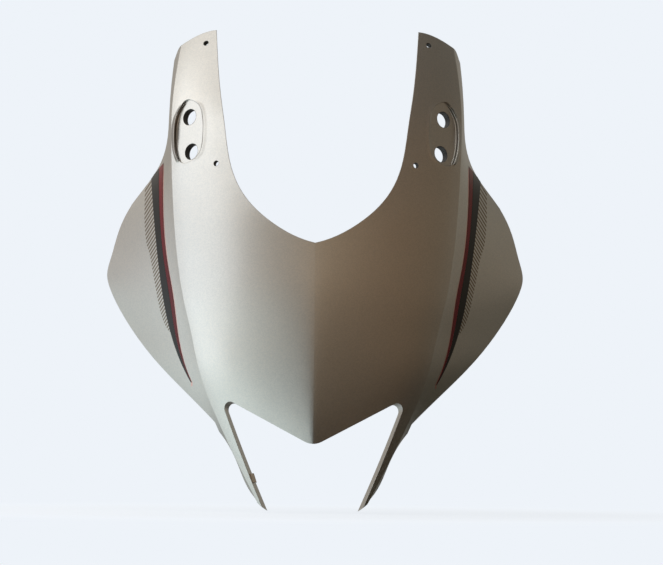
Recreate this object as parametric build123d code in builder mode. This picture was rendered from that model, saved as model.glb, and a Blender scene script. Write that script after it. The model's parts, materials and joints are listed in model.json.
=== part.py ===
from build123d import *
import os
from math import cos, radians, tan

# Nose cowl of a sport motorcycle, one thin moulding standing upright: X runs across it, Y from
# front to back and Z up its length, in millimetres. The origin lies midway between the mirror
# bolts. Heights below are taken from the level of the wing tips and depths from the foremost
# point of the ridge, and the two datum values place them about the origin.
mirror_height = 146
nose_reach = 84

wall = 3

# Guide curves, as height: value. The ridge and the crease run the whole length of the cowl.
ridge_depth = {-275: 50, -189: 18, -135: 8, -60: 1, -25: 0, 0: 0.6, 70: 8, 150: 32, 200: 55, 275: 98}
ridge_slope = {-189: 0.36, -60: 0.27, 0: 0.22, 150: 0.16}
ridge_softness = {-189: 4, 29: 20, 150: 30}
crease_out = {-275: 49, -227: 74, -200: 87.3, -170: 101.6, -135: 116.5, -109: 125.2, -69: 134,
              -25: 144.4, 23: 151.3, 78: 155.7, 150: 158.3, 185: 157, 225: 152, 275: 142}
crease_depth = {-275: 79, -200: 62, -135: 55, -70: 56, 0: 64, 70: 73, 150: 90, 200: 109, 275: 146}
shoulder_share = 0.2
shoulder_slope = 1.0
crown_share = 0.45

# Flank outside the crease: three control points, each out and back from the crease. The last
# one lies just beyond the trimmed edge of the wing.
brow_out = {-275: 0.5, -180: 0.5, -135: 5, -69: 8, 0: 9, 78: 6, 114: 4, 150: 1.5, 275: 2}
brow_back = {-275: 4, -180: 4, -135: 7, -69: 10.5, 0: 12, 78: 9, 114: 6.5, 150: 6, 275: 5}
flank_out = {-275: 1, -180: 1, -135: 15, -96: 28, -57: 38, -8: 43, 41: 34, 78: 22, 114: 9,
             150: 2.5, 225: 3.5, 275: 5}
flank_back = {-275: 9, -180: 9, -135: 18, -96: 31, -57: 42, -8: 48, 41: 42, 78: 33, 114: 24,
              150: 19, 225: 12, 275: 6}
edge_out = {-275: 1.5, -180: 2, -167: 8, -135: 26.5, -96: 52, -57: 73, -8: 84, 20: 76.5, 41: 66,
            79: 38, 108: 16, 138: 5, 167: 3, 225: 4.5, 275: 6}
edge_back = {-275: 14, -180: 14, -167: 15, -135: 35, -96: 64, -57: 89, -8: 100, 20: 97, 41: 87.5,
             79: 61, 108: 47, 138: 42, 167: 38, 185: 34, 225: 21, 275: 6}
station_count = 20
lowest_station = -275
station_step = 29.5

# Front view: points of the right half, out from the middle and up
top_height = 260.6
tip_height = -263
horn_top = [(105, top_height), (123, 257.6), (138, 250.4), (148, 244)]
horn_corner = (154.5, 232)
horn_corner_run = (0.35, -1)
horn_side = [(162, 212), (168, 190), (171, 130), (178, 114), (196, 90), (201.6, 68)]
wing_edge = [(201.6, 68), (214.7, 41), (223.3, 11), (227.3, -8), (223, -25), (206, -57),
             (177, -96), (139, -135), (107, -167)]
arm_side = [(103, -176), (98, -190), (79, -232), (65, -249)]
arm_tip = [(57, -257), (49, tip_height)]
trim_margin = 20
nose_height = -191.5
nose_angle = 28
nose_radius = 20
notch_top = 110
notch_edge = [(0, 29.4), (42.5, 48), (78, 81), (92.7, 113.4), (99.2, 152.6), (notch_top, top_height)]
notch_base_rise = 0.22
gap_corner_out = 102
gap_corner_radius = 7
arm_foot = (60, -263)

# Return lips behind the edges
lip = 2.5
arm_lip_depth = 18
edge_lip_depth = 8
arm_lip_lean = 0.24
lean_datum = 45
arm_lip_start = 76
lip_tab = [(-64.2, -222), (-68.6, -222), (-65.3, -232), (-60.9, -232)]
lip_tab_depths = (68, 76)

# Mirror recess
recess_rim = [(138, 184), (127, 177), (123.3, 152), (125.5, 130), (134.8, 118), (145.5, 114.6),
              (153, 123), (154.8, 142), (153, 166), (147, 178.5)]
pad_out = 137
pad_sink = 4.4
pad_slope_out = 0.85
pad_slope_up = 0.3
mirror_bolt_spacing = 40
mirror_hole = 18
cup_depth = 40
pad_lean = 0.066
collar = 5

# Windscreen screws
screw_hole = 6
screw_pad = 14
screw_pad_depth = 3
upper_screw = (121.5, 246)
lower_screw = (108.5, 114.5)

# Stripe decals
film = 0.2
film_gap = 0.12
stripe_inner = [(133, -124), (146.3, -84), (155, -26), (161.4, 9), (166.3, 61), (166.8, 114.5)]
stripe_outer = [(133.8, -124), (152.2, -84), (165.9, -28), (171.2, 9), (176.8, 61), (180, 99)]
red_share = 0.36
stripe_joint = 0.02


def level(height):
    return Plane((0, -nose_reach, height - mirror_height))


def front(depth):
    return Plane((0, depth - nose_reach, -mirror_height), x_dir=(1, 0, 0), z_dir=(0, -1, 0))


# Smooth curve through the values of a guide
def follow(guide, height):
    heights = list(guide)
    height = min(max(height, heights[0]), heights[-1])
    last = len(heights) - 1
    start = min(sum(height >= step for step in heights) - 1, last - 1)

    def rise(index):
        low = heights[max(index - 1, 0)]
        high = heights[min(index + 1, last)]
        return (guide[high] - guide[low]) / (high - low)

    low, high = heights[start], heights[start + 1]
    run = high - low
    t = (height - low) / run
    return ((1 + 2 * t) * (1 - t) ** 2 * guide[low] + t * (1 - t) ** 2 * run * rise(start)
            + t ** 2 * (3 - 2 * t) * guide[high] + t ** 2 * (t - 1) * run * rise(start + 1))


# Control points of the outer skin at one height: five for the shield, three more for the flank
def skin_points(height):
    crest = follow(ridge_depth, height)
    soft = follow(ridge_softness, height)
    slope = follow(ridge_slope, height)
    out = follow(crease_out, height)
    back = follow(crease_depth, height)
    crown = crown_share * out
    shoulder = shoulder_share * out
    crease = Vector(out, back)
    return [
        Vector(0, crest),
        Vector(soft, crest),
        Vector(crown, crest + slope * (crown - soft)),
        crease - Vector(shoulder, shoulder_slope * shoulder),
        crease,
        crease + Vector(follow(brow_out, height), follow(brow_back, height)),
        crease + Vector(follow(flank_out, height), follow(flank_back, height)),
        crease + Vector(follow(edge_out, height), follow(edge_back, height)),
    ]


# The same polygon moved into the moulding by an even distance
def inset_points(height, inset):
    points = skin_points(height)
    inward = []
    for start, end in zip(points, points[1:]):
        run = (end - start).normalized()
        inward.append(Vector(-run.Y, run.X))
    moved = []
    for index, point in enumerate(points):
        before = inward[max(index - 1, 0)]
        after = inward[min(index, len(inward) - 1)]
        moved.append(point + (before + after) * (inset / (1 + before.dot(after))))
    return moved


crease_index = 4
stations = [lowest_station + index * station_step for index in range(station_count)]


# Closed section of the wall
def wall_section(height):
    outer = inset_points(height, 0)
    inner = inset_points(height, wall)
    with BuildSketch(level(height)) as section:
        with BuildLine():
            Bezier(*outer[: crease_index + 1])
            Bezier(*outer[crease_index:])
            Line(outer[-1], inner[-1])
            Bezier(*inner[crease_index:])
            Bezier(*inner[: crease_index + 1])
            Line(outer[0], inner[0])
        make_face()
    return section.sketch


# Closed section reaching a set depth back from the middle of the shield's wall
def backing_section(height, depth):
    near = inset_points(height, wall / 2)[: crease_index + 1]
    far = [point + Vector(0, depth) for point in near]
    with BuildSketch(level(height)) as section:
        with BuildLine():
            Bezier(*near)
            Line(near[-1], far[-1])
            Bezier(*far)
            Line(near[0], far[0])
        make_face()
    return section.sketch


# Closed section of a film lying on the flank
def film_section(height):
    near = inset_points(height, -film_gap)[crease_index:]
    far = inset_points(height, -film_gap - film)[crease_index:]
    with BuildSketch(level(height)) as section:
        with BuildLine():
            Bezier(*near)
            Line(near[-1], far[-1])
            Bezier(*far)
            Line(near[0], far[0])
        make_face()
    return section.sketch


# Outline of the right half in the front view
def silhouette():
    with BuildSketch(front(clear_of_nose)) as view:
        with BuildLine():
            crown_edge = Spline(*horn_top)
            Spline(horn_top[-1], horn_corner, tangents=[crown_edge % 1, horn_corner_run])
            Polyline(horn_corner, *horn_side)
            Spline(*wing_edge)
            Polyline(wing_edge[-1], *arm_side)
            ThreePointArc(arm_side[-1], *arm_tip)
            Polyline(arm_tip[-1], (0, tip_height), (0, top_height), horn_top[0])
        make_face()
    return view.sketch


# Points moved by a distance to the right of the way they run
def spread(points, distance, closed=False):
    moved = []
    last = len(points) - 1
    for index, (out, height) in enumerate(points):
        before = points[index - 1] if closed or index > 0 else points[index]
        after = points[(index + 1) % len(points)] if closed or index < last else points[index]
        run = (Vector(*after) - Vector(*before)).normalized()
        moved.append((out + distance * run.Y, height - distance * run.X))
    return moved


# Gap for the windscreen
def windscreen_notch(grow):
    edge = spread(notch_edge, grow)
    above = top_height + trim_margin
    with BuildSketch(front(0)) as view:
        with BuildLine():
            Spline(*edge, tangents=[(1, notch_base_rise), (0.05, 1)])
            Polyline(edge[-1], (edge[-1][0], above), (-lip, above), (-lip, edge[0][1]), edge[0])
        make_face()
    return view.sketch


# Gap between the fork arms. Its sides lean inwards with depth, and the nose edge does not.
def fork_gap(depth, grow):
    lean = (lean_datum - depth) * arm_lip_lean
    corner_out = gap_corner_out + lean
    corner = (corner_out, nose_height + corner_out * tan(radians(nose_angle)))
    foot = (arm_foot[0] + lean, arm_foot[1])
    below = tip_height - trim_margin
    with BuildSketch(front(depth)) as view:
        with BuildLine():
            centre = (0, nose_height + nose_radius / cos(radians(nose_angle)))
            nose = CenterArc(centre, nose_radius, -90, nose_angle)
            Polyline(nose @ 1, corner, foot, (foot[0], below), (0, below), nose @ 0)
        make_face()
        fillet(view.vertices().sort_by(Axis.Y)[-1], gap_corner_radius)
        if grow:
            offset(amount=grow, kind=Kind.INTERSECTION)
    return view.sketch


# Mouth of the mirror recess
def recess_mouth(grow):
    with BuildSketch(front(0)) as view:
        with BuildLine():
            Spline(*spread(recess_rim, grow, closed=True), periodic=True)
        make_face()
    return view.sketch


# Band of the stripe decal between two shares of its width
def stripe(start, end):
    near = []
    far = []
    for inner, outer in zip(stripe_inner, stripe_outer):
        width = Vector(*outer) - Vector(*inner)
        near.append(Vector(*inner) + start * width)
        far.append(Vector(*inner) + end * width)
    with BuildSketch(front(0)) as view:
        with BuildLine():
            Spline(*near)
            Line(near[-1], far[-1])
            Spline(*far)
            Line(near[0], far[0])
        make_face()
    return view.sketch


through = 250
clear_of_nose = -10
gap_planes = (clear_of_nose, 100)

with BuildPart() as outline:
    extrude(silhouette(), amount=-through)

with BuildPart() as notch_void:
    extrude(windscreen_notch(0), amount=-through)

with BuildPart() as fork_void:
    loft([fork_gap(depth, 0) for depth in gap_planes])

# The skin of the right half
with BuildPart() as cowl:
    loft([wall_section(height) for height in stations])
    add(outline.part, mode=Mode.INTERSECT)
    add(notch_void.part, mode=Mode.SUBTRACT)
    add(fork_void.part, mode=Mode.SUBTRACT)


# Plane on the outer skin behind a point of the front view, facing forwards
def skin_plane(out, height):
    line = Axis((out, -through, height - mirror_height), (0, 1, 0))
    face = cowl.part.faces_intersected_by_axis(line)[0]
    spot, facing = face.find_intersection_points(line)[0]
    if facing.Y > 0:
        facing = -facing
    return Plane(spot, z_dir=facing)


# Lip behind the edge of the windscreen notch
with BuildPart() as notch_lip:
    extrude(windscreen_notch(lip), amount=-through)
    loft([backing_section(height, edge_lip_depth) for height in stations], mode=Mode.INTERSECT)
    add(notch_void.part, mode=Mode.SUBTRACT)
    add(outline.part, mode=Mode.INTERSECT)

# Shallow lip behind the nose edge and a deep one behind the arm, round the fork gap
with BuildPart() as nose_lip:
    loft([fork_gap(depth, lip) for depth in gap_planes])
    loft([backing_section(height, edge_lip_depth) for height in stations], mode=Mode.INTERSECT)
    add(fork_void.part, mode=Mode.SUBTRACT)
    add(outline.part, mode=Mode.INTERSECT)

with BuildPart() as arm_lip:
    loft([fork_gap(depth, lip) for depth in gap_planes])
    loft([backing_section(height, arm_lip_depth) for height in stations], mode=Mode.INTERSECT)
    add(fork_void.part, mode=Mode.SUBTRACT)
    add(outline.part, mode=Mode.INTERSECT)
    with BuildSketch(front(0)):
        with BuildLine():
            Polyline((0, nose_height), (arm_lip_start, nose_height), (arm_lip_start, 0), (0, 0),
                     close=True)
        make_face()
    extrude(amount=-through, mode=Mode.SUBTRACT)

# Mirror pad: a tilted floor at the back of the recess
pad_facing = Vector(pad_slope_out, -1, pad_slope_up)
pad_up = Vector(pad_lean, pad_lean * pad_slope_out + pad_slope_up, 1)
pad_spot = skin_plane(pad_out, mirror_height).origin + Vector(0, pad_sink, 0)
pad = Plane(pad_spot, x_dir=pad_up.cross(pad_facing), z_dir=pad_facing)

with BuildPart() as cup:
    extrude(recess_mouth(wall), amount=-through)
    loft([backing_section(height, cup_depth) for height in stations], mode=Mode.INTERSECT)
    split(bisect_by=pad.offset(-wall), keep=Keep.TOP)

with BuildPart() as pocket:
    extrude(recess_mouth(0), amount=-through)
    split(bisect_by=pad, keep=Keep.TOP)

screw_planes = [skin_plane(*upper_screw), skin_plane(*lower_screw)]

with cowl:
    add(notch_lip.part)
    add(nose_lip.part)
    add(arm_lip.part)
    add(cup.part)
    add(pocket.part, mode=Mode.SUBTRACT)
    # Collars and holes for the mirror bolts
    with BuildSketch(pad.offset(-wall / 2)):
        with GridLocations(0, mirror_bolt_spacing, 1, 2):
            Circle(mirror_hole / 2 + wall)
    extrude(amount=-wall / 2 - collar)
    with BuildSketch(pad):
        with GridLocations(0, mirror_bolt_spacing, 1, 2):
            Circle(mirror_hole / 2)
    extrude(amount=cup_depth / 2, both=True, mode=Mode.SUBTRACT)
    # Pads and holes for the windscreen screws
    for plane in screw_planes:
        with BuildSketch(plane.offset(-wall / 2)):
            Circle(screw_pad / 2)
        extrude(amount=-wall / 2 - screw_pad_depth)
        with BuildSketch(plane):
            Circle(screw_hole / 2)
        extrude(amount=wall + 2 * screw_pad_depth, both=True, mode=Mode.SUBTRACT)
    mirror(about=Plane.YZ)
    # Locating tab on the left arm's lip
    with BuildSketch(front(lip_tab_depths[0])):
        with BuildLine():
            Polyline(*lip_tab, close=True)
        make_face()
    extrude(amount=lip_tab_depths[0] - lip_tab_depths[1])
cowl.part.label = "upper_cowl"

# Stripe decals on the flanks
with BuildPart() as film_blank:
    loft([film_section(height) for height in stations])
    add(outline.part, mode=Mode.INTERSECT)

bands = {
    "red_stripe": stripe(0, red_share - stripe_joint),
    "black_stripe": stripe(red_share, 1),
}
decals = {}
for name, band in bands.items():
    with BuildPart() as right:
        add(film_blank.part)
        extrude(band, amount=-through, mode=Mode.INTERSECT)
    with BuildPart() as left:
        mirror(right.part, about=Plane.YZ)
    decals["right_" + name] = right
    decals["left_" + name] = left

os.makedirs("parts", exist_ok=True)
export_step(cowl.part, "parts/upper_cowl.step")
for name, decal in decals.items():
    decal.part.label = name
    export_step(decal.part, f"parts/{name}.step")
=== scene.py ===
import json
from math import cos, radians, sin

import bpy
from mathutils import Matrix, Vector


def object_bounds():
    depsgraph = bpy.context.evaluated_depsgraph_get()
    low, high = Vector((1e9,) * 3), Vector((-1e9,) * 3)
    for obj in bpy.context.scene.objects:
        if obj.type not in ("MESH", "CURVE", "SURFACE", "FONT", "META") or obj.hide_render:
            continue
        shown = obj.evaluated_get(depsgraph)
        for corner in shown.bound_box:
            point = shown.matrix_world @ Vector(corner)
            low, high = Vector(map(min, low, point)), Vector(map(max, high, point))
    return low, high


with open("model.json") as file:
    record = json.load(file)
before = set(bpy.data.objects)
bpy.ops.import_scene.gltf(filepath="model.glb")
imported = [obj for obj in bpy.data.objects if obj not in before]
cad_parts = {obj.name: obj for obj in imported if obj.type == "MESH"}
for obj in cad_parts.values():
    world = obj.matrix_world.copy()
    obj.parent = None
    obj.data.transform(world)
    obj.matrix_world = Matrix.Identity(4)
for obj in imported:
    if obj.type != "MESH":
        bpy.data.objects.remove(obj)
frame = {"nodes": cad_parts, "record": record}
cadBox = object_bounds()
print("frame loaded")


# Small helpers for the shader trees

def addNode(tree, kind, inputs=None, **settings):
    made = tree.nodes.new("ShaderNode" + kind)
    for name, value in settings.items():
        setattr(made, name, value)
    for key, value in (inputs or {}).items():
        if isinstance(value, bpy.types.NodeSocket):
            tree.links.new(value, made.inputs[key])
        else:
            made.inputs[key].default_value = value
    return made


def reckon(tree, operation, *values):
    made = addNode(tree, "Math", dict(enumerate(values)), operation=operation)
    return made.outputs[0]


def product(tree, first, *others):
    for other in others:
        first = reckon(tree, "MULTIPLY", first, other)
    return first


# 1 where the value lies between the two limits, 0 elsewhere
def within(tree, value, low, high):
    return product(tree, reckon(tree, "GREATER_THAN", value, low), reckon(tree, "LESS_THAN", value, high))


def blendColour(tree, share, first, second):
    made = addNode(tree, "Mix", {0: share, 6: first, 7: second}, data_type="RGBA")
    return made.outputs[2]


def blendValue(tree, share, first, second):
    made = addNode(tree, "Mix", {0: share, 2: first, 3: second}, data_type="FLOAT")
    return made.outputs[0]


def smoothStep(tree, value, low, high):
    made = addNode(tree, "MapRange", {0: value, 1: low, 2: high, 3: 0.0, 4: 1.0},
                   interpolation_type="SMOOTHSTEP")
    return made.outputs[0]


def shade(colour, share):
    return tuple(value * share for value in colour[:3]) + (1.0,)


def newGroup(name, inputs, outputs):
    tree = bpy.data.node_groups.new(name, "ShaderNodeTree")
    for socketName, value in inputs.items():
        made = tree.interface.new_socket(name=socketName, in_out="INPUT", socket_type="NodeSocketFloat")
        made.default_value = value
    for socketName in outputs:
        tree.interface.new_socket(name=socketName, in_out="OUTPUT", socket_type="NodeSocketFloat")
    return tree, tree.nodes.new("NodeGroupInput"), tree.nodes.new("NodeGroupOutput")


def useGroup(tree, group, values):
    made = tree.nodes.new("ShaderNodeGroup")
    made.node_tree = group
    for name, value in values.items():
        made.inputs[name].default_value = value
    return made.outputs


def newMaterial(name):
    material = bpy.data.materials.new(name)
    material.use_nodes = True
    tree = material.node_tree
    return material, tree, tree.nodes["Principled BSDF"]


# Smooth curve of a value against height, both in millimetres
def guideCurve(tree, height, guide):
    lowHeight, highHeight = guide[0][0], guide[-1][0]
    lowValue = min(value for _, value in guide)
    highValue = max(value for _, value in guide)
    share = addNode(tree, "MapRange", {0: height, 1: lowHeight, 2: highHeight, 3: 0.0, 4: 1.0})
    curve = addNode(tree, "FloatCurve", {"Value": share.outputs[0]})
    points = curve.mapping.curves[0].points
    while len(points) < len(guide):
        points.new(0.5, 0.5)
    for point, (level, value) in zip(points, guide):
        point.location = ((level - lowHeight) / (highHeight - lowHeight),
                          (value - lowValue) / (highValue - lowValue))
    curve.mapping.update()
    back = addNode(tree, "MapRange", {0: curve.outputs[0], 1: 0.0, 2: 1.0, 3: lowValue, 4: highValue})
    return back.outputs[0]


# Camera: far off, level and square on, rolled slightly as in the photo
camera = {"distance": 16.0, "across": 0.0181, "height": -0.1596, "frameWidth": 0.7227,
          "middleDepth": 0.02, "sensor": 36.0, "tilt": -0.6}

cameraData = bpy.data.cameras.new("photoCamera")
cameraData.sensor_width = camera["sensor"]
cameraData.lens = camera["sensor"] * camera["distance"] / camera["frameWidth"]
cameraObject = bpy.data.objects.new("photoCamera", cameraData)
cameraObject.location = (camera["across"], camera["middleDepth"] - camera["distance"], camera["height"])
cameraObject.rotation_euler = (radians(90), radians(camera["tilt"]), 0)
bpy.context.scene.collection.objects.link(cameraObject)
bpy.context.scene.camera = cameraObject
bpy.context.scene.view_settings.view_transform = "Standard"
print("camera placed")


# Studio: pale backdrop, one big soft window on the left, and a dim room round the rest
studio = {"backdrop": (0.855, 0.896, 0.947, 1.0), "ambient": (0.20, 0.195, 0.19, 1.0),
          "middle": Vector((0.0, 0.0, -0.16))}
window = {"place": Vector((-2.1, -0.75, 0.31)), "size": (1.9, 2.45), "power": 14,
          "colour": (0.90, 0.96, 1.0)}

# Floor: near the object a share of it shows as it is lit, with the shadow, and the rest as a
# brighter backdrop. Over shadowReach, in metres, it turns into the plain backdrop
floorLook = {"gap": 0.002, "size": 3.0, "roughness": 0.9, "litShare": 0.3, "glow": 1.2,
             "shadowReach": (0.25, 0.75)}

# The room's glow by direction: degrees round from the camera, then its low, middle and high tones
room = {"radius": 2.8, "rings": 24, "columns": 64, "bottom": -80, "top": 70, "lowAngle": -25, "highAngle": 38,
        "tones": [(-180, (0.16, 0.16, 0.15), (0.34, 0.32, 0.28), (0.42, 0.40, 0.36)),
                  (-115, (0.80, 0.88, 0.88), (0.54, 0.49, 0.44), (0.90, 0.87, 0.81)),
                  (-75, (1.20, 1.36, 1.38), (0.54, 0.56, 0.60), (1.50, 1.45, 1.38)),
                  (-46, (1.14, 1.30, 1.29), (0.46, 0.41, 0.36), (1.00, 0.97, 0.92)),
                  (-38, (0.98, 1.10, 1.09), (0.43, 0.37, 0.31), (0.72, 0.69, 0.63)),
                  (-28, (0.20, 0.24, 0.25), (0.42, 0.35, 0.28), (0.48, 0.44, 0.38)),
                  (-12, (0.08, 0.085, 0.085), (0.52, 0.42, 0.32), (0.36, 0.31, 0.25)),
                  (15, (0.07, 0.06, 0.045), (0.45, 0.335, 0.225), (0.24, 0.195, 0.15)),
                  (45, (0.07, 0.045, 0.025), (0.25, 0.165, 0.10), (0.16, 0.125, 0.095)),
                  (75, (0.04, 0.03, 0.02), (0.19, 0.14, 0.09), (0.13, 0.112, 0.088)),
                  (115, (0.05, 0.045, 0.03), (0.31, 0.285, 0.235), (0.16, 0.15, 0.13)),
                  (180, (0.16, 0.16, 0.15), (0.34, 0.32, 0.28), (0.42, 0.40, 0.36))]}


def stageMesh(name, points, faces, material):
    mesh = bpy.data.meshes.new(name)
    mesh.from_pydata(points, [], faces)
    mesh.materials.append(material)
    made = bpy.data.objects.new(name, mesh)
    bpy.context.scene.collection.objects.link(made)
    return made


# 1 for the rays that show the backdrop as it is: seen, mirrored or through something clear
def seenShare(tree):
    path = addNode(tree, "LightPath").outputs
    mirrored = reckon(tree, "MAXIMUM", path["Is Glossy Ray"], path["Is Transmission Ray"])
    return reckon(tree, "MAXIMUM", path["Is Camera Ray"], mirrored)


def makeWorld():
    world = bpy.data.worlds.new("studioWorld")
    bpy.context.scene.world = world
    world.use_nodes = True
    tree = world.node_tree
    colour = blendColour(tree, seenShare(tree), studio["ambient"], studio["backdrop"])
    tree.links.new(colour, tree.nodes["Background"].inputs["Color"])


def makeWindow():
    light = bpy.data.lights.new("leftWindow", "AREA")
    light.shape = "RECTANGLE"
    light.size, light.size_y = window["size"]
    light.energy = window["power"]
    light.color = window["colour"]
    made = bpy.data.objects.new("leftWindow", light)
    made.location = window["place"]
    aim = studio["middle"] - window["place"]
    made.rotation_euler = aim.to_track_quat("-Z", "Y").to_euler()
    bpy.context.scene.collection.objects.link(made)


# One ramp of the room's tones round the object
def toneRing(tree, turn, which):
    tones = room["tones"]
    first, last = tones[0][0], tones[-1][0]
    share = addNode(tree, "MapRange", {0: turn, 1: first, 2: last})
    ramp = addNode(tree, "ValToRGB", {0: share.outputs[0]})
    stops = ramp.color_ramp.elements
    while len(stops) < len(tones):
        stops.new(0.5)
    for stop, tone in zip(stops, tones):
        stop.position = (tone[0] - first) / (last - first)
        stop.color = (*tone[which], 1.0)
    return ramp.outputs[0]


def makeRoomGlow():
    material, tree, shader = newMaterial("roomScreen")
    tree.nodes.remove(shader)
    place = addNode(tree, "SeparateXYZ", {0: addNode(tree, "TexCoord").outputs["Object"]}).outputs
    towardsCamera = reckon(tree, "MULTIPLY", place["Y"], -1.0)
    turn = reckon(tree, "DEGREES", reckon(tree, "ARCTAN2", place["X"], towardsCamera))
    slope = reckon(tree, "DIVIDE", place["Z"], room["radius"])
    rise = reckon(tree, "DEGREES", reckon(tree, "ARCSINE", slope))
    low, middle, high = (toneRing(tree, turn, which) for which in (1, 2, 3))
    colour = blendColour(tree, smoothStep(tree, rise, 0.0, room["lowAngle"]), middle, low)
    colour = blendColour(tree, smoothStep(tree, rise, 0.0, room["highAngle"]), colour, high)
    glow = addNode(tree, "Emission", {"Color": colour})
    tree.links.new(glow.outputs[0], tree.nodes["Material Output"].inputs["Surface"])
    return material


# Round screen with its own dim glow, open overhead and underfoot
def makeRoom():
    radius, columns = room["radius"], room["columns"]
    points, faces = [], []
    for ring in range(room["rings"] + 1):
        rise = radians(room["bottom"] + (room["top"] - room["bottom"]) * ring / room["rings"])
        reach = radius * cos(rise)
        for column in range(columns):
            turn = radians(360 * column / columns)
            points.append((reach * sin(turn), -reach * cos(turn), radius * sin(rise)))
            if ring:
                last = (ring - 1) * columns
                after = last + (column + 1) % columns
                faces.append((last + column, after, after + columns, last + columns + column))
    screen = stageMesh("roomScreen", points, faces, makeRoomGlow())
    screen.visible_camera = False
    screen.visible_shadow = False


def makeFloorFinish(level):
    material, tree, shader = newMaterial("paleFloor")
    shader.inputs["Base Color"].default_value = studio["backdrop"]
    shader.inputs["Roughness"].default_value = floorLook["roughness"]
    place = addNode(tree, "TexCoord").outputs["Object"]
    reach = addNode(tree, "VectorMath", {0: place, 1: (0.0, 0.0, level)}, operation="DISTANCE")
    away = smoothStep(tree, reach.outputs["Value"], *floorLook["shadowReach"])
    strength = blendValue(tree, away, floorLook["glow"], 1.0)
    glow = addNode(tree, "Emission", {"Color": studio["backdrop"], "Strength": strength})
    backdropShare = blendValue(tree, away, 1 - floorLook["litShare"], 1.0)
    share = product(tree, seenShare(tree), backdropShare)
    mixed = addNode(tree, "MixShader", {0: share, 1: shader.outputs[0], 2: glow.outputs[0]})
    tree.links.new(mixed.outputs[0], tree.nodes["Material Output"].inputs["Surface"])
    return material


def makeFloor():
    half = floorLook["size"] / 2
    level = cadBox[0].z - floorLook["gap"]
    corners = [(-half, -half, level), (half, -half, level), (half, half, level), (-half, half, level)]
    floor = stageMesh("floor", corners, [(0, 1, 2, 3)], makeFloorFinish(level))
    floor.visible_glossy = False


makeWorld()
makeWindow()
makeRoom()
makeFloor()
print("studio lit")


# Shared effect: fine flake, broad patches and orange peel. The peel is coarser than the flake
grain = {"peelShare": 0.45, "peelDetail": 1.0, "patchDetail": 3.0, "patchRoughness": 0.55}


def makeGrainGroup():
    tree, start, end = newGroup("finishGrain", {"Scale": 900.0, "Patch Scale": 25.0},
                                ("Grain", "Patches", "Height"))
    place = addNode(tree, "TexCoord").outputs["Object"]
    scale = start.outputs["Scale"]
    flake = addNode(tree, "TexVoronoi", {"Vector": place, "Scale": scale})
    patch = addNode(tree, "TexNoise", {"Vector": place, "Scale": start.outputs["Patch Scale"],
                                       "Detail": grain["patchDetail"], "Roughness": grain["patchRoughness"]})
    peelScale = reckon(tree, "MULTIPLY", scale, grain["peelShare"])
    peel = addNode(tree, "TexNoise", {"Vector": place, "Scale": peelScale, "Detail": grain["peelDetail"]})
    tone = addNode(tree, "SeparateColor", {0: flake.outputs["Color"]})
    tree.links.new(tone.outputs[0], end.inputs["Grain"])
    tree.links.new(patch.outputs[0], end.inputs["Patches"])
    tree.links.new(peel.outputs[0], end.inputs["Height"])
    return tree


# Shared effect: mask of one bore and its mate on the other side, 1 within the radius round its axis. It
# darkens the bores' insides to bare plastic, which also works as painted shade in the holes
def makeBoreShadeGroup():
    tree, start, end = newGroup("boreShadeMask", {"Out": 0.1, "Back": 0.0, "Up": 0.0, "Axis Out": 0.6,
                                             "Axis Back": -0.7, "Axis Up": 0.2, "Radius": 0.003}, ("Mask",))
    given = start.outputs
    place = addNode(tree, "SeparateXYZ", {0: addNode(tree, "TexCoord").outputs["Object"]}).outputs
    out = reckon(tree, "ABSOLUTE", place["X"])
    spot = addNode(tree, "CombineXYZ", {0: out, 1: place["Y"], 2: place["Z"]}).outputs[0]
    centre = addNode(tree, "CombineXYZ", {0: given["Out"], 1: given["Back"], 2: given["Up"]}).outputs[0]
    axis = addNode(tree, "CombineXYZ", {0: given["Axis Out"], 1: given["Axis Back"],
                                        2: given["Axis Up"]}).outputs[0]
    offset = addNode(tree, "VectorMath", {0: spot, 1: centre}, operation="SUBTRACT").outputs[0]
    across = addNode(tree, "VectorMath", {0: offset, 1: axis}, operation="CROSS_PRODUCT").outputs[0]
    distance = addNode(tree, "VectorMath", {0: across}, operation="LENGTH").outputs["Value"]
    tree.links.new(reckon(tree, "LESS_THAN", distance, given["Radius"]), end.inputs["Mask"])
    return tree


grainGroup = makeGrainGroup()
boreShadeGroup = makeBoreShadeGroup()


# The cowl's finishes are laid out in millimetres: height from the mirror bolts' level, and
# distance out from the middle plane
perMetre = 1000.0

silverPaint = {"colour": (0.60, 0.595, 0.575, 1.0), "grainTone": 0.12, "patchTone": 0.05, "metallic": 0.93,
               "roughness": 0.30, "patchRoughness": 0.06, "coat": 0.22, "coatRoughness": 0.25,
               "flakeScale": 1000.0, "patchScale": 14.0, "peelStrength": 0.12, "peelHeight": 0.0002,
               "frontFacing": 0.02, "edgeRadius": 0.001, "edgeSamples": 6}

# Edges of the stripe print, as heights and distances out
stripeGuides = {
    "inner": [(-270, 133), (-230, 146.3), (-172, 155), (-137, 161.4), (-85, 166.3), (-31.5, 166.8)],
    "outer": [(-270, 133.8), (-230, 152.2), (-174, 165.9), (-137, 171.2), (-85, 176.8), (-47, 180)],
    "hatch": [(-215, 158), (-196, 167), (-163, 174.3), (-133.5, 179.8), (-111, 185.2), (-50, 186.7)],
}
hatchPrint = {"pitch": 5.0, "lean": 1.6, "lineShare": 0.5, "overlap": 1.0, "colour": (0.21, 0.175, 0.14, 1.0)}
hairlinePrint = {"inwards": 1.1, "outwards": 0.6, "pastFoot": 4, "shortOfTop": 2,
                 "colour": (0.72, 0.46, 0.42, 1.0)}


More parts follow.
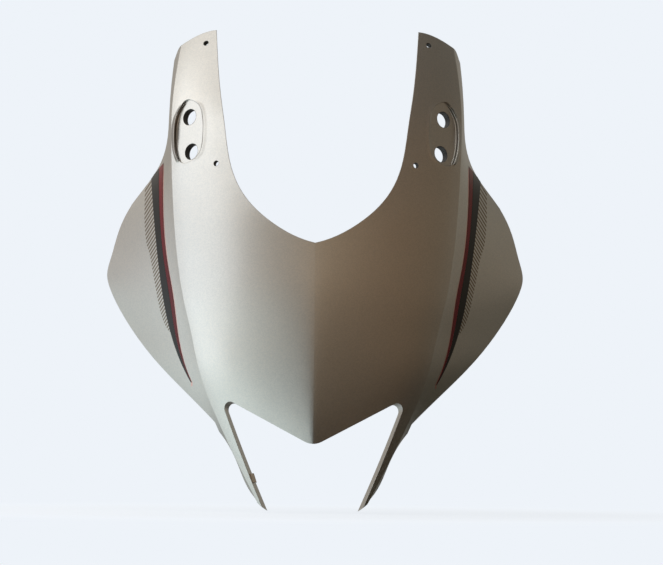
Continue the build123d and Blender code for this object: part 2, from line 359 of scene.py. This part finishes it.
# Slanted hatch outside the black band, thinning out to its lower end
def hatchMask(tree, out, height):
    slant = reckon(tree, "ADD", height, product(tree, out, hatchPrint["lean"]))
    phase = reckon(tree, "FRACT", reckon(tree, "DIVIDE", slant, hatchPrint["pitch"]))
    line = reckon(tree, "LESS_THAN", phase, hatchPrint["lineShare"])
    outer = guideCurve(tree, height, stripeGuides["outer"])
    inBand = within(tree, out, reckon(tree, "SUBTRACT", outer, hatchPrint["overlap"]),
                    guideCurve(tree, height, stripeGuides["hatch"]))
    aboveFoot = reckon(tree, "GREATER_THAN", height, stripeGuides["hatch"][0][0])
    return product(tree, line, inBand, aboveFoot)


# Pale hairline along the red band
def hairlineMask(tree, out, height):
    inner = guideCurve(tree, height, stripeGuides["inner"])
    onLine = within(tree, out, reckon(tree, "SUBTRACT", inner, hairlinePrint["inwards"]),
                    reckon(tree, "ADD", inner, hairlinePrint["outwards"]))
    lowEnd = stripeGuides["inner"][0][0] - hairlinePrint["pastFoot"]
    highEnd = stripeGuides["inner"][-1][0] - hairlinePrint["shortOfTop"]
    return product(tree, onLine, within(tree, height, lowEnd, highEnd))


# Fine steps in the finish at the mirror recess's inner and outer rims. A guide gives heights and
# distances out, width is half the step's, and run is how far its high side goes, outwards if positive
recessEdges = [
    {"guide": [(-30.5, 137), (-28, 134.0), (-24, 129.8), (-16, 125.5), (6, 123.3), (22, 124.6),
               (31, 127.2), (35.5, 131.5), (37.5, 136)],
     "width": 0.5, "run": -5, "endFade": 5, "depth": 0.3},
    {"guide": [(-31.6, 148.6), (-22, 152.4), (-9.8, 154.6), (2, 155.0), (12, 154.2), (24, 150.2),
               (34, 143.4)],
     "width": 0.6, "run": 3.2, "endFade": 4, "depth": 1.9},
    {"guide": [(-31.6, 146.0), (-22, 149.6), (-9.8, 151.6), (2, 152.0), (12, 151.3), (24, 147.5),
               (34, 140.8)],
     "width": 0.5, "run": 2.2, "endFade": 4, "depth": 1.4},
]


# Height of one fine step, fading out along its high side and at its ends
def rimStep(tree, out, height, step):
    rim = guideCurve(tree, height, step["guide"])
    width = step["width"] if step["run"] > 0 else -step["width"]
    foot = reckon(tree, "SUBTRACT", rim, width)
    brink = reckon(tree, "ADD", rim, width)
    rise = smoothStep(tree, out, foot, brink)
    fade = smoothStep(tree, out, reckon(tree, "ADD", rim, step["run"]), brink)
    lowEnd, highEnd = step["guide"][0][0], step["guide"][-1][0]
    fromLow = smoothStep(tree, height, lowEnd, lowEnd + step["endFade"])
    fromHigh = smoothStep(tree, height, highEnd, highEnd - step["endFade"])
    return product(tree, rise, fade, fromLow, fromHigh, step["depth"])


# Hidden side: bare dark plastic, a little paler in patches. Insides of the bores: the same dark plastic,
# partly bare plastic and partly painted shade that darkens the holes. Over the range of facing, which is how
# far a face turns to the back, paint gives way to plastic
barePlasticAndBoreShade = {"colour": (0.034, 0.034, 0.036, 1.0), "wornColour": (0.058, 0.057, 0.056, 1.0),
               "roughness": 0.5, "facing": (0.05, 0.3), "patches": (0.3, 0.8), "boreShadeMargin": 0.00015}


def bareSideAndBoreShadeMask(tree, facingBack):
    bareAndBoreShade = smoothStep(tree, facingBack, *barePlasticAndBoreShade["facing"])
    for mount in frame["record"]["mounts"]:
        if mount["kind"] == "bore" and mount["name"].startswith("right"):
            spot, axis = mount["pos_m"], mount["axis"]
            radius = mount["dims"]["r_mm"] / perMetre + barePlasticAndBoreShade["boreShadeMargin"]
            # painted shade: the bore walls get the dark plastic colour so the holes look shaded
            bore = useGroup(tree, boreShadeGroup, {
                "Out": spot[0], "Back": spot[1], "Up": spot[2],
                "Axis Out": axis[0], "Axis Back": axis[1], "Axis Up": axis[2], "Radius": radius})
            bareAndBoreShade = reckon(tree, "MAXIMUM", bareAndBoreShade, bore["Mask"])
    return bareAndBoreShade


# Edges look slightly rounded, then orange peel, then the fine steps at the recess
def paintNormal(tree, peel, out, height):
    rounded = addNode(tree, "Bevel", {"Radius": silverPaint["edgeRadius"]},
                      samples=silverPaint["edgeSamples"])
    bump = addNode(tree, "Bump", {"Height": peel, "Strength": silverPaint["peelStrength"],
                                  "Distance": silverPaint["peelHeight"], "Normal": rounded.outputs[0]})
    relief = 0.0
    for step in recessEdges:
        relief = reckon(tree, "ADD", relief, rimStep(tree, out, height, step))
    edge = addNode(tree, "Bump", {"Height": relief, "Strength": 1.0, "Distance": 1 / perMetre,
                                  "Normal": bump.outputs[0]})
    return edge.outputs[0]


def makeSilverPaint():
    look = silverPaint
    material, tree, shader = newMaterial("silverPaint")
    coords = addNode(tree, "TexCoord").outputs
    place = addNode(tree, "SeparateXYZ", {0: coords["Object"]}).outputs
    facingBack = addNode(tree, "SeparateXYZ", {0: coords["Normal"]}).outputs["Y"]
    out = product(tree, reckon(tree, "ABSOLUTE", place["X"]), perMetre)
    height = product(tree, place["Z"], perMetre)
    front = reckon(tree, "LESS_THAN", facingBack, look["frontFacing"])
    flecks = useGroup(tree, grainGroup, {"Scale": look["flakeScale"], "Patch Scale": look["patchScale"]})

    red, green, blue, _ = look["colour"]
    warm = (red, green * (1 - look["patchTone"]), blue * (1 - 2 * look["patchTone"]), 1.0)
    silver = blendColour(tree, flecks["Patches"], look["colour"], warm)
    colour = blendColour(tree, flecks["Grain"], shade(look["colour"], 1 - look["grainTone"]), silver)
    hatch = product(tree, hatchMask(tree, out, height), front)
    colour = blendColour(tree, hatch, colour, hatchPrint["colour"])
    hairline = product(tree, hairlineMask(tree, out, height), front)
    colour = blendColour(tree, hairline, colour, hairlinePrint["colour"])

    # bare plastic on the hidden side, plus painted shade inside the bores
    bareAndBoreShade = bareSideAndBoreShadeMask(tree, facingBack)
    patches = smoothStep(tree, flecks["Patches"], *barePlasticAndBoreShade["patches"])
    bareAndBoreShadeColour = blendColour(tree, patches, barePlasticAndBoreShade["colour"], barePlasticAndBoreShade["wornColour"])
    tree.links.new(blendColour(tree, bareAndBoreShade, colour, bareAndBoreShadeColour), shader.inputs["Base Color"])

    shown = reckon(tree, "SUBTRACT", 1.0, bareAndBoreShade)
    tree.links.new(product(tree, shown, look["metallic"]), shader.inputs["Metallic"])
    tree.links.new(product(tree, shown, look["coat"]), shader.inputs["Coat Weight"])
    rough = reckon(tree, "ADD", look["roughness"], product(tree, flecks["Patches"], look["patchRoughness"]))
    tree.links.new(blendValue(tree, bareAndBoreShade, rough, barePlasticAndBoreShade["roughness"]), shader.inputs["Roughness"])
    shader.inputs["Coat Roughness"].default_value = look["coatRoughness"]
    tree.links.new(paintNormal(tree, flecks["Height"], out, height), shader.inputs["Normal"])
    return material


# Decal films, with painted light: paler towards the top where more light falls, darker at the foot. Rise is
# the height in metres over which this painted light changes
films = {
    "black_stripe": {"top": (0.006, 0.0055, 0.0055, 1.0), "foot": (0.003, 0.003, 0.0035, 1.0),
                     "specular": 0.5, "roughness": 0.3},
    "red_stripe": {"top": (0.17, 0.006, 0.010, 1.0), "foot": (0.12, 0.002, 0.008, 1.0),
                   "specular": 0.42, "roughness": 0.32},
}
filmFinishAndLight = {"rise": (-0.18, -0.05), "grainScale": 1100.0, "patchScale": 30.0, "grainShade": 0.8,
              "grainShare": 0.25, "patchRoughness": 0.08, "coat": 0.1, "coatRoughness": 0.2,
              "peelStrength": 0.08, "peelHeight": 0.0002}


def makeFilm(name):
    look = films[name]
    material, tree, shader = newMaterial(name)
    place = addNode(tree, "SeparateXYZ", {0: addNode(tree, "TexCoord").outputs["Object"]}).outputs
    flecks = useGroup(tree, grainGroup, {"Scale": filmFinishAndLight["grainScale"],
                                         "Patch Scale": filmFinishAndLight["patchScale"]})
    # painted light: top colour stands for the lit upper film, foot colour for its shaded lower end
    colour = blendColour(tree, smoothStep(tree, place["Z"], *filmFinishAndLight["rise"]), look["foot"], look["top"])
    share = product(tree, flecks["Grain"], filmFinishAndLight["grainShare"])
    colour = blendColour(tree, share, colour, shade(look["foot"], filmFinishAndLight["grainShade"]))
    tree.links.new(colour, shader.inputs["Base Color"])
    rough = reckon(tree, "ADD", look["roughness"],
                   product(tree, flecks["Patches"], filmFinishAndLight["patchRoughness"]))
    tree.links.new(rough, shader.inputs["Roughness"])
    shader.inputs["Specular IOR Level"].default_value = look["specular"]
    shader.inputs["Coat Weight"].default_value = filmFinishAndLight["coat"]
    shader.inputs["Coat Roughness"].default_value = filmFinishAndLight["coatRoughness"]
    bump = addNode(tree, "Bump", {"Height": flecks["Height"], "Strength": filmFinishAndLight["peelStrength"],
                                  "Distance": filmFinishAndLight["peelHeight"]})
    tree.links.new(bump.outputs[0], shader.inputs["Normal"])
    return material


def dress(node, material):
    mesh = frame["nodes"][node].data
    mesh.materials.clear()
    mesh.materials.append(material)


dress("upper_cowl", makeSilverPaint())
for name in films:
    film = makeFilm(name)
    for side in ("left_", "right_"):
        dress(side + name, film)
print("finishes applied")
